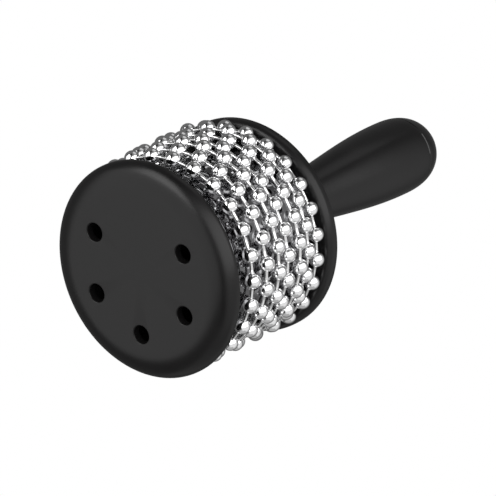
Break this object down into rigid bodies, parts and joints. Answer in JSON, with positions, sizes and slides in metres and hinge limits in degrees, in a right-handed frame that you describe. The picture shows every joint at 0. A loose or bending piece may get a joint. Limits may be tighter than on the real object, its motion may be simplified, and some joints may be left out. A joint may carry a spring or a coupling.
{
  "type": "mini cabasa",
  "caption": "Hand percussion instrument: loops of steel ball chain turn round a steel sleeve held between two round black discs on a swelling black handle.",
  "frame": {"origin": "centre of the front disc's flat outer face, on which the instrument stands", "axes": "+Z along the handle, from the front disc to the end cap; +X and +Y in the plane of the front face"},
  "size_m": [0.0679, 0.0671, 0.1383],
  "materials": {
    "satin_black": "satin moulded",
    "core_black": "matte moulded",
    "gloss_black": "gloss moulded",
    "embossed_steel": "polished, embossed",
    "ball_steel": "polished plate",
    "pin_steel": "polished plate",
    "bolt_steel": "black oxide",
    "washer_steel": "zinc plate",
    "brass": "turned"
  },
  "bodies": {
    "instrument_body": {"front_disc": "satin_black", "rear_disc": "satin_black", "drum_core": "core_black", "steel_sleeve": "embossed_steel", "handle": "satin_black", "end_cap": "gloss_black", "tie_bolt": "bolt_steel", "bolt_washer": "washer_steel", "lock_washer": "bolt_steel", "threaded_insert": "brass"},
    "chain_a": {"bead_loop_a": "ball_steel", "link_loop_a": "pin_steel"},
    "chain_b": {"bead_loop_b": "ball_steel", "link_loop_b": "pin_steel"},
    "chain_c": {"bead_loop_c": "ball_steel", "link_loop_c": "pin_steel"},
    "chain_d": {"bead_loop_d": "ball_steel", "link_loop_d": "pin_steel"},
    "chain_e": {"bead_loop_e": "ball_steel", "link_loop_e": "pin_steel"},
    "chain_f": {"bead_loop_f": "ball_steel", "link_loop_f": "pin_steel"},
    "chain_g": {"bead_loop_g": "ball_steel", "link_loop_g": "pin_steel"}
  },
  "joints": [
    {"name": "chain_a_turn", "type": "hinge", "parent": "instrument_body", "child": "chain_a", "pos_m": [0.00153, 0.0002, 0.0155], "axis": [0, 0, 1], "continuous": true},
    {"name": "chain_b_turn", "type": "hinge", "parent": "instrument_body", "child": "chain_b", "pos_m": [0.00003, 0.00077, 0.0204], "axis": [0, 0, 1], "continuous": true},
    {"name": "chain_c_turn", "type": "hinge", "parent": "instrument_body", "child": "chain_c", "pos_m": [-0.00079, 0.00134, 0.0253], "axis": [0, 0, 1], "continuous": true},
    {"name": "chain_d_turn", "type": "hinge", "parent": "instrument_body", "child": "chain_d", "pos_m": [-0.0002, 0.00115, 0.0302], "axis": [0, 0, 1], "continuous": true},
    {"name": "chain_e_turn", "type": "hinge", "parent": "instrument_body", "child": "chain_e", "pos_m": [-0.0009, 0.00097, 0.0351], "axis": [0, 0, 1], "continuous": true},
    {"name": "chain_f_turn", "type": "hinge", "parent": "instrument_body", "child": "chain_f", "pos_m": [-0.0001, 0.00162, 0.04], "axis": [0, 0, 1], "continuous": true},
    {"name": "chain_g_turn", "type": "hinge", "parent": "instrument_body", "child": "chain_g", "pos_m": [0.00066, 0.00064, 0.0449], "axis": [0, 0, 1], "continuous": true}
  ]
}
